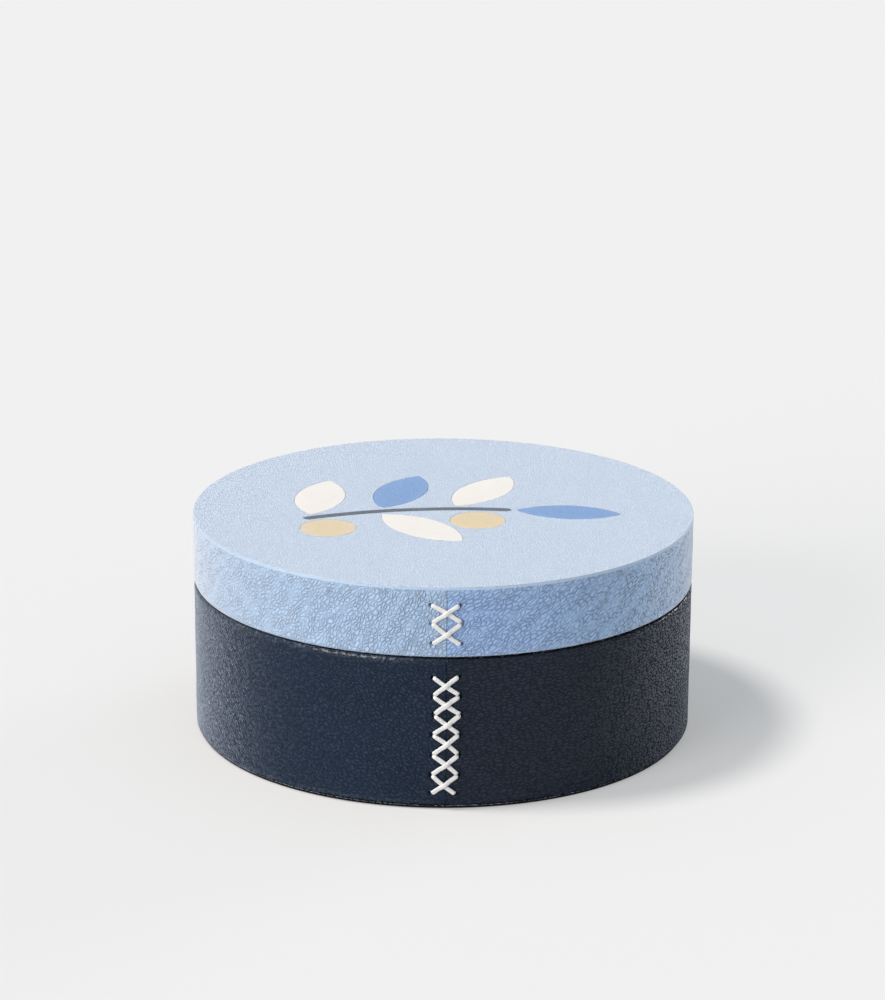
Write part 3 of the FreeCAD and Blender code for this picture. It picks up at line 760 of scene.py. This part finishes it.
def strandRoute(start, end, over, bow):
    # a quarter turn out of its hole, flat across the seam, with a hump in the middle where it lies
    # on top, and a quarter turn down into the other hole; columns: across, height, out
    run = end - start
    span = np.hypot(*run)
    bend = laceSize.bend
    turn = np.linspace(0, pi / 2, 8)
    rise = bend * (1 - np.cos(turn))
    lifted = laceSize.low - bend + bend * np.sin(turn)
    flat = np.linspace(bend, span - bend, 60)[1:-1]
    hump = 0.5 + 0.5 * np.cos(pi * np.clip(np.abs(flat - span / 2) / laceSize.hump, 0, 1))
    along = np.concatenate([rise, flat, span - rise[::-1]])
    out = np.concatenate([lifted, laceSize.low + over * laceSize.lift * hump, lifted[::-1]])
    aside = bow * np.sin(pi * along / span)
    way = run / span
    x = start[0] + way[0] * along - way[1] * aside
    z = start[1] + way[1] * along + way[0] * aside
    return np.stack([x, z, out], -1)


def hiddenRoute(start, end):
    # behind the leather from one hole to another: in, round a flat half circle and out again
    inward = np.linspace(laceSize.low - laceSize.bend, -laceSize.depth, 7)[1:]
    turn = np.linspace(0, pi, 13)[1:-1]
    arc = (start + end) / 2 + np.cos(turn)[:, None] * (start - end) / 2
    back = -laceSize.depth - laceSize.loop * np.sin(turn) ** 0.5
    return np.concatenate([
        np.column_stack([np.repeat(start[None], len(inward), 0), inward]),
        np.column_stack([arc, back]),
        np.column_stack([np.repeat(end[None], len(inward), 0), inward[::-1]]),
    ])


def halfRoute(holes, s, rng):
    # one end of the lace from the top row down: strand, loop behind, strand, and a tail behind the last row
    last = holes.shape[1] - 1
    parts = []
    for row in range(last):
        end = holes[1 - s, row + 1, 0]
        parts.append(strandRoute(holes[s, row, 1], end, s == 1, rng.normal(0, laceSize.bow)))
        s = 1 - s
        if row < last - 1:
            parts.append(hiddenRoute(end, holes[s, row + 1, 1]))
    tail = hiddenRoute(end, end - (np.sign(end[0]) * laceSize.tail, 0))
    return np.concatenate(parts + [tail[: len(tail) // 2 + 2]])


def lacing(name, holes, seed, rides, node):
    # one lace from tail to tail: a flattened section carried along the whole route, rounder and
    # narrower inside the holes, its width uneven by hand
    rng = np.random.default_rng(seed)
    left = halfRoute(holes, 0, rng)
    right = halfRoute(holes, 1, rng)
    route = np.concatenate([left[::-1], hiddenRoute(holes[0, 0, 1], holes[1, 0, 1]), right])
    gaps = size(np.diff(route, axis=0))
    route = route[np.concatenate([[True], gaps > 1e-6])]
    length = runLength(route)
    at = np.linspace(0, length[-1], int(length[-1] / laceSize.step))
    soften = np.hanning(laceSize.soften)
    soften = soften / soften.sum()
    lines = [np.interp(at, length, route[:, i]) for i in range(3)]
    x, z, out = (np.convolve(np.pad(line, len(soften) // 2, "edge"), soften, "valid") for line in lines)
    centre = aboutAxis(outerRadius + out, x / outerRadius, z)
    ahead = unit(np.gradient(centre, axis=0))
    # the flat lies on the leather: it turns to follow each strand and twists over in the loops behind
    shown = out > laceSize.shown
    heading = np.arctan2(np.gradient(z), np.gradient(x))
    lie = heading % pi - pi / 2 + pi * (at > at[-1] / 2)
    lie = np.interp(at, at[shown], lie[shown])
    flatWay = np.stack([np.cos(lie), 0 * lie, np.sin(lie)], -1)
    flatWay = unit(flatWay - (flatWay * ahead).sum(-1)[:, None] * ahead)
    overWay = np.cross(ahead, flatWay)
    bare = smooth(*laceSize.bare, out)  # 0 inside a hole, 1 on the leather
    uneven = 1 + laceSize.uneven * ripple(at, 0 * at, laceSize.wave, seed + 1)
    uneven += laceSize.fineUneven * ripple(at, 0 * at, laceSize.fineWave, seed + 2)
    wide = (laceSize.core + (laceSize.width - laceSize.core) * bare) * uneven / 2
    thick = (laceSize.core + (laceSize.thick - laceSize.core) * bare) / 2
    turn = compass(angles(laceSize.around))
    wideWay, highWay = (np.sign(turn) * np.abs(turn) ** laceSize.square).T
    points = (
        centre[:, None]
        + (wide[:, None] * wideWay)[..., None] * flatWay[:, None]
        + (thick[:, None] * highWay)[..., None] * overWay[:, None]
    ) * mm
    rows, columns = points.shape[:2]
    girth = 2 * (laceSize.width + laceSize.thick) * mm
    around = np.arange(columns + 1) / columns * girth
    ends = [np.arange(columns)[::-1], (rows - 1) * columns + np.arange(columns)]
    faces, corners = cappedSkin((rows, columns), around, at * mm, ends, loopColumns=True)
    return addPiece(name, points.reshape(-1, 3), faces, corners, lace, rides, node)


lacing("baseLacing", baseHoles, 5, "base", "base_lacing")
lacing("lidLacing", lidHoles, 17, "lid", "lid_lacing")


# Top leather and inlaid sprig

sprig = Values(  # millimetres and degrees, as the CAD's sprig
    turn=8.0, shift=(-15.0, -3.0), gap=2.0, curve=150.0, width=4.0, lead=2.5, tail=11.0, backLeaves=3,
    leafLength=47.0, leafWidth=20.0, lean=60.0, spacing=5.0, endScale=0.9, berry=11.0, berrySpacing=8.0,
)
inlay = Values(  # millimetres: cut edges, steps, the soft wave of the whole top, worn edges
    fit=0.08, edge=0.24, lower=0.06, border=0.3, thick=1.2, steps=72, discSteps=240, spacing=4.2, margin=1.2,
    wave=0.05, longWave=34.0, shortWave=11.0, shortShare=0.4, seed=41, ease=6, rubReach=1.6, rubWave=9.0,
)
leanSine = np.sin(radians(sprig.lean))
leafPitch = (sprig.leafWidth + sprig.spacing) / leanSine
berryReach = (sprig.leafWidth / 2 + sprig.berrySpacing + sprig.berry) / leanSine
berryRuns = [sprig.lead, sprig.lead + 2 * berryReach]
frontLeafRun = sprig.lead + berryReach - sprig.berry / np.tan(radians(sprig.lean))
backLeafRuns = sprig.lead + leafPitch * np.arange(sprig.backLeaves)
stemLength = max(berryRuns[-1], backLeafRuns[-1]) + sprig.tail


def turned(vectors, degrees):
    c, s = np.cos(radians(degrees)), np.sin(radians(degrees))
    return np.asarray(vectors) @ np.array([[c, s], [-s, c]])


def stemPoint(run, offset):
    # a point beside the stem's arc, at a run from its left end, with the ways along and away from it
    angle = pi / 2 + (stemLength / 2 - run) / sprig.curve
    away = compass(angle)
    along = np.stack([np.sin(angle), -np.cos(angle)], -1)
    return away * (sprig.curve + np.asarray(offset))[..., None] - (0, sprig.curve), along, away


def placed(points):
    return turned(points, sprig.turn) + sprig.shift


class Leaf:
    # two arcs that meet in a point at each end; an inset moves both towards the middle line
    def __init__(self, root, axis, scale):
        self.halfLength = sprig.leafLength * scale / 2
        self.halfWidth = sprig.leafWidth * scale / 2
        self.arc = (self.halfLength**2 + self.halfWidth**2) / (2 * self.halfWidth)
        self.axis = turned(axis, sprig.turn)
        self.side = turned(self.axis, -90)
        self.middle = placed(root + axis * self.halfLength)

    def loops(self, inset):
        radius = self.arc - inset[:, None]
        reach = np.arccos((self.arc - self.halfWidth) / radius)
        angle = reach * np.linspace(-1, 1, inlay.steps // 2 + 1)
        along = (radius * np.sin(angle))[..., None] * self.axis
        away = (radius * np.cos(angle) - self.arc + self.halfWidth)[..., None] * self.side
        return np.concatenate([self.middle + along + away, (self.middle - along - away)[:, 1:-1]], 1)

    def depth(self, points):
        aside = (self.arc - self.halfWidth) * self.side
        far = [size(points - self.middle + sign * aside) for sign in (-1, 1)]
        return self.arc - np.maximum(*far)


class Disc:
    # a round piece: a berry, or the whole top of the lid
    def __init__(self, middle, radius, steps):
        self.middle = middle
        self.radius = radius
        self.steps = steps

    def loops(self, inset):
        return self.middle + (self.radius - inset)[:, None, None] * compass(angles(self.steps))

    def depth(self, points):
        return self.radius - size(points - self.middle)


class Stem:
    # a band along an arc with round ends
    def loops(self, inset):
        half = sprig.width / 2 - inset[:, None]
        run = np.broadcast_to(np.linspace(0, stemLength, 60), (len(inset), 60))
        bow = np.linspace(0, pi, 14)[1:-1]
        sides = []
        for sign, runs, end in ((1, run, stemLength), (-1, run[:, ::-1], 0.0)):
            edge, _, _ = stemPoint(runs, sign * half)
            nose, along, away = stemPoint(end, 0.0)
            swing = np.cos(bow)[:, None] * away + np.sin(bow)[:, None] * along
            sides += [edge, nose + sign * half[..., None] * swing]
        return placed(np.concatenate(sides, 1))[:, ::-1]

    def depth(self, points):
        local = turned(points - np.array(sprig.shift), -sprig.turn) + (0, sprig.curve)
        run = stemLength / 2 - (np.arctan2(local[..., 1], local[..., 0]) - pi / 2) * sprig.curve
        nearest, _, _ = stemPoint(np.clip(run, 0, stemLength), 0.0)
        return sprig.width / 2 - size(local - (0, sprig.curve) - nearest)


def sideLeaf(run, side):
    root, along, _ = stemPoint(run, side * (sprig.width / 2 + sprig.gap))
    return Leaf(root, turned(along, side * sprig.lean), 1)


def endLeaf():
    tip, along, _ = stemPoint(stemLength, 0.0)
    return Leaf(tip + along * (sprig.width / 2 + sprig.gap), along, sprig.endScale)


def berryDisc(run):
    centre, _, _ = stemPoint(run, -(sprig.width / 2 + sprig.gap + sprig.berry))
    return Disc(placed(centre), sprig.berry, inlay.steps)


def edgeProfile(rounding, sign, shift):
    # (inset, depth under the face) from the bottom of a cut edge, its corner rounded by lower,
    # up it and over its rounded top to a narrow flat border
    lower = inlay.lower
    turn = np.linspace(0, pi / 2, 7)
    inset = np.concatenate([lower * (1 - np.sin(turn)), rounding * (1 - np.cos(turn))])
    under = np.concatenate([inlay.thick - lower * (1 - np.cos(turn)), rounding * (1 - np.sin(turn))])
    return shift + sign * np.append(inset, rounding + inlay.border), np.append(under, 0.0)


def filled(loops, spots, holds):
    # triangles between the loops and through the spots, kept where holds says yes, all counterclockwise
    flat = np.concatenate(loops + [spots])
    edges = []
    first = 0
    for loop in loops:
        edges += [(first + i, first + (i + 1) % len(loop)) for i in range(len(loop))]
        first += len(loop)
    made = geometry.delaunay_2d_cdt([Vector(spot) for spot in flat], edges, [], 0, 1e-7)
    source = np.array([origin[0] for origin in made[3]])
    triangles = source[np.array(made[2])]
    triangles = triangles[holds(flat[triangles].mean(1))]
    a, b, c = (flat[triangles[:, i]] for i in range(3))
    area = (b - a)[:, 0] * (c - a)[:, 1] - (b - a)[:, 1] * (c - a)[:, 0]
    return np.where(area[:, None] > 0, triangles, triangles[:, ::-1])


def leatherPanel(name, outline, windows, edges, material, slot, node):
    # a flat piece of leather: edge profiles carried along its outline and round its windows, a face and
    # a back filled between them, and a soft unevenness shared by all pieces of the top, so they stay flush
    def holds(points, rim=0.0):
        kept = outline.depth(points) > rim
        for window in windows:
            kept &= window.depth(points) < -rim
        return kept

    inset, under = edgeProfile(edges.rounding, 1, 0.0)
    strips = [outline.loops(inset)]
    deep = [np.repeat(under, strips[0].shape[1])]
    inset, under = edgeProfile(inlay.edge, -1, -inlay.fit)
    strips += [window.loops(inset) for window in windows]
    deep += [np.repeat(under, strip.shape[1]) for strip in strips[1:]]
    half = int(outerRadius / inlay.spacing * 1.2) + 1
    i, j = np.meshgrid(np.arange(-2 * half, 2 * half + 1), np.arange(-half, half + 1))
    spots = np.stack([i + j / 2, j * 0.866], -1).reshape(-1, 2) * inlay.spacing  # rows of even triangles
    spots = spots[holds(spots, edges.rounding + inlay.border + inlay.margin)]
    starts = np.cumsum([0] + [strip.shape[0] * strip.shape[1] for strip in strips])
    faces = []
    for k, (strip, first) in enumerate(zip(strips, starts)):
        quads = gridQuads(strip.shape[0], strip.shape[1], loopColumns=True) + first
        faces.append(quads if k == 0 else quads[:, ::-1])
    for row, extra in ((-1, spots), (0, spots[:0])):  # the face, then the back
        number = [a + (row % s.shape[0]) * s.shape[1] + np.arange(s.shape[1]) for s, a in zip(strips, starts)]
        number = np.concatenate(number + [starts[-1] + np.arange(len(extra))])
        triangles = number[filled([strip[row] for strip in strips], extra, holds)]
        faces.append(triangles if row else triangles[:, ::-1])
    flat = np.concatenate([strip.reshape(-1, 2) for strip in strips] + [spots])
    deep = np.concatenate(deep + [np.zeros(len(spots))]) / inlay.thick
    inside = outline.depth(flat)
    wave = ripple(*flat.T, inlay.longWave, inlay.seed)
    wave += inlay.shortShare * ripple(*flat.T, inlay.shortWave, inlay.seed + 1)
    level = smooth(0, inlay.ease, outerRadius - size(flat))
    rise = inlay.wave * (wave - 1) * level + edges.crown * smooth(0, inlay.ease, inside)
    points = np.column_stack([flat, lidTop - deep * inlay.thick + rise * (1 - deep)]) * mm
    wearGlint = 0.6 + 0.4 * ripple(*flat.T, inlay.rubWave, inlay.seed + 2)
    wearGlint = bell(inside / inlay.rubReach) * wearGlint
    wearGlint += edges.fold * (smooth(0.02, 0.3, deep) - wearGlint)  # only the disc's own edge takes the wall's blue
    paint = {"wearGlint": np.clip(wearGlint, 0, 1), "cutAndShade": smooth(0.3, 0.7, deep) * edges.dark}
    corners = [flat[face] * mm for face in faces]
    return addPiece(name, points, faces, corners, leathers[material], "lid", node, paint)


discEdge = Values(rounding=0.35, crown=0.0, dark=0.0, fold=1.0)
inlayEdge = Values(rounding=inlay.edge, crown=0.06, dark=1.0, fold=0.0)
top = Disc(np.zeros(2), outerRadius, inlay.discSteps)
stem = Stem()
leaves = [sideLeaf(run, 1) for run in backLeafRuns] + [sideLeaf(frontLeafRun, -1), endLeaf()]
leafLeathers = [("cream", "cream_leather"), ("midBlue", "mid_blue_leather")]
berries = [berryDisc(run) for run in berryRuns]
leatherPanel("topLeather", top, [stem] + leaves + berries, discEdge, "top", "blue_leather", "lid_top_leather")
leatherPanel("inlayStem", stem, [], inlayEdge, "slate", "slate_leather", "inlay_stem")
for number, (leaf, kind) in enumerate(zip(leaves, (0, 1, 0, 0, 1)), 1):
    leatherPanel(f"inlayLeaf{number}", leaf, [], inlayEdge, *leafLeathers[kind], f"inlay_leaf_{number}")
for number, berry in enumerate(berries, 1):
    leatherPanel(f"inlayBerry{number}", berry, [], inlayEdge, "sand", "sand_leather", f"inlay_berry_{number}")


# Linings

lining = Values(  # millimetres
    thick=0.5, skirt=10.0, play=0.2, neckRound=1.2, hem=0.1, padRound=0.5, uneven=0.03, wave=24.0,
    columns=180,
)


def revolved(name, corners, seed, rides, node):
    # a section carried right round the axis, moved along its normal by a soft ripple;
    # a section that starts and ends on the axis is closed there by two fans
    section = roundedSection(corners)
    columns = lining.columns
    angle = angles(columns)
    poles = section[section[:, 0] < 1e-6]
    ring = section[section[:, 0] >= 1e-6]
    solid = len(poles) > 0
    ahead = unit(np.gradient(ring, axis=0) if solid else np.roll(ring, -1, 0) - np.roll(ring, 1, 0))
    x = ring[:, :1] * np.sin(angle)
    y = -ring[:, :1] * np.cos(angle)
    push = lining.uneven * ripple(x, y + 3 * ring[:, 1:], lining.wave, seed)
    radius = ring[:, :1] - ahead[:, 1:] * push
    height = ring[:, 1:] + ahead[:, :1] * push
    points = aboutAxis(radius, angle, height).reshape(-1, 3)
    faces = [gridQuads(len(ring), columns, loopRows=not solid, loopColumns=True)]
    if solid:
        around = np.arange(columns)
        beside = (around + 1) % columns
        last = len(points) - columns
        pole = np.full(columns, len(points))
        points = np.concatenate([points, np.column_stack([poles[:, 0], poles[:, 0], poles[:, 1]])])
        faces.append(np.stack([pole, beside, around], -1))
        faces.append(np.stack([pole + 1, last + around, last + beside], -1))
    points = points * mm
    chart = [points[face][..., :2] for face in faces]
    return addPiece(name, points, faces, chart, suede, rides, node)


neckLow, neckHigh = (corner.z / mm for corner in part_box("neck_lining"))
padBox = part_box("floor_pad_suede")
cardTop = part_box("floor_pad_card")[1].z / mm
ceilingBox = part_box("lid_ceiling_suede")
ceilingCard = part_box("lid_ceiling_card")[0].z / mm
liningLow, liningHigh = (corner.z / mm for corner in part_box("lid_wall_lining"))
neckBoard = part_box("neck_ring_board")[1].x / mm


def neckCorners():
    outer = neckRadius
    inner = padBox[1].x / mm + lining.play
    skirt = rimHeight - lining.skirt
    outerBack = neckBoard + cover.glue
    innerBack = inner + lining.thick
    under = neckHigh - lining.thick
    return [
        (outer, skirt, lining.hem, 2.0),
        (outer, neckHigh, lining.neckRound, 0.6),
        (inner, neckHigh, lining.neckRound, 3.0),
        (inner, neckLow, lining.hem, 0.4),
        (innerBack, neckLow, lining.hem, 6.0),
        (innerBack, under, lining.neckRound - lining.thick, 0.6),
        (outerBack, under, lining.neckRound - lining.thick, 3.0),
        (outerBack, skirt, lining.hem, 0.4),
    ]


def tray(face, back, card, outer):
    # a covered card: the suede's face, its rounded edge turned along the card, and its back
    return [
        (0, face, 0, 5.0),
        (outer, face, lining.padRound, 1.0),
        (outer, back, lining.hem, 0.4),
        (outer - lining.thick, back, lining.hem, 1.0),
        (outer - lining.thick, card, 0, 8.0),
        (0, card, 0, 50.0),
    ]


pad = tray(padBox[1].z / mm, padBox[0].z / mm, cardTop, padBox[1].x / mm)
ceiling = tray(ceilingBox[0].z / mm, ceilingBox[1].z / mm, ceilingCard, ceilingBox[1].x / mm)
sleeve = [
    (liningRadius - lining.thick, liningLow, lining.hem, 0.4),
    (liningRadius, liningLow, lining.hem, 4.0),
    (liningRadius, liningHigh, lining.hem, 0.4),
    (liningRadius - lining.thick, liningHigh, lining.hem, 1.5),
]
revolved("neckLining", neckCorners(), 51, "base", "neck_lining")
floorPad = revolved("floorPad", pad, 52, "base", "floor_pad_suede")
revolved("lidCeiling", ceiling, 53, "lid", "lid_ceiling_suede")
revolved("lidWallLining", sleeve, 54, "lid", "lid_wall_lining")

boards = ("base_floor_board", "base_wall_board", "neck_ring_board", "lid_wall_board", "lid_top_board")
cards = ("base_infill_card", "floor_pad_card", "lid_infill_card", "lid_ceiling_card")
for material, nodes in ((greyBoard, boards), (whiteCard, cards), (underPanelShade, ["base_bottom_panel"])):
    for node in nodes:
        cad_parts[node].material_slots[0].material = material
print("box dressed")


# Stage, light and camera

studio = Values(floor=5.0, pale=(240, 240, 240), paper=0.54, room=0.36, roomColour=(0.87, 1.0, 1.17))
lamps = {  # a high key on the left, a broad low fill in front of it, and a low kick from behind on the right
    "key": Values(power=1.85, turn=-87, height=64, spread=13, colour=(1.06, 1.0, 0.95)),
    "fill": Values(power=1.95, turn=-43, height=14, spread=36, colour=(1.055, 1.0, 0.935)),
    "kick": Values(power=1.6, turn=128, height=5, spread=30, colour=(0.95, 1.0, 1.05)),
}
paleLevel = screenColour(*studio.pale)[0]


def towards(turn, height):
    # the way to a light or camera: turned from the front towards the right, raised from the floor
    turn, height = radians(turn), radians(height)
    return Vector((np.sin(turn) * np.cos(height), -np.cos(turn) * np.cos(height), np.sin(height)))


def seenDirectly(w):
    # 1 for rays from the camera and for mirrored or refracted ones, 0 for those that light the box
    names = ("Is Camera Ray", "Is Glossy Ray", "Is Transmission Ray")
    camera, glossy, through = (w.node("LightPath", {}, {}, out=name) for name in names)
    return w.node("Math", {"operation": "ADD", "use_clamp": True}, {0: camera + glossy, 1: through})


floorMaterial, w = newMaterial("paleFloor")
onFloor = studio.room * np.array(studio.roomColour)
for lamp in lamps.values():
    onFloor += lamp.power * np.sin(radians(lamp.height)) / pi * np.array(lamp.colour)
glow = (*map(float, paleLevel - studio.paper * onFloor), 1)  # what the lamps leave to a pale floor
paper = w.node("BsdfPrincipled", {}, {
    "Base Color": (studio.paper,) * 3 + (1,),
    "Roughness": 0.9,
    "Specular IOR Level": 0.0,
    "Emission Color": seenDirectly(w).blend((0, 0, 0, 1), glow),
    "Emission Strength": 1.0,
})
finished(floorMaterial, paper)
reach = studio.floor
floorMesh = bpy.data.meshes.new("floor")
spread = [(-reach, -reach, 0), (reach, -reach, 0), (reach, reach, 0), (-reach, reach, 0)]
floorMesh.from_pydata(spread, [], [(0, 1, 2, 3)])
floorMesh.materials.append(floorMaterial)
floor = bpy.data.objects.new("floor", floorMesh)


def lampStand(name):
    # a distant lamp as wide as its spread, pointed at the box
    lamp = lamps[name]
    light = bpy.data.lights.new(name, "SUN")
    light.energy = lamp.power
    light.color = lamp.colour
    light.angle = radians(lamp.spread)
    stand = bpy.data.objects.new(name, light)
    stand.rotation_euler = towards(lamp.turn, lamp.height).to_track_quat("Z", "Y").to_euler()
    return stand


world = bpy.data.worlds.new("studio")
world.use_nodes = True
world.node_tree.nodes.clear()
w = Wire(world.node_tree)
level = studio.room + seenDirectly(w) * (paleLevel - studio.room)
tint = seenDirectly(w).blend((*studio.roomColour, 1), (1, 1, 1, 1))
background = w.node("Background", {}, {"Strength": level, "Color": tint})
w.node("OutputWorld", {}, {"Surface": background})
bpy.context.scene.world = world

view = Values(  # the photographed angle: millimetres, degrees
    distance=1318.12, turn=-0.884, rise=19.107, pivot=45, aim=(-0.38, 0, 91.89), roll=0.304, lens=117.2,
)
camera = bpy.data.cameras.new("camera")
camera.lens = view.lens
camera.clip_end = 50
shot = bpy.data.objects.new("camera", camera)
stood = towards(view.turn, view.rise) * view.distance + Vector((0, 0, view.pivot))
sight = (Vector(view.aim) - stood).to_track_quat("-Z", "Y")
shot.location = stood * mm
shot.rotation_euler = (sight @ Quaternion((0, 0, 1), radians(view.roll))).to_euler()
for thing in (floor, shot, *map(lampStand, lamps)):
    bpy.context.scene.collection.objects.link(thing)
bpy.context.scene.camera = shot
bpy.context.scene.view_settings.view_transform = "Standard"
print("stage set")
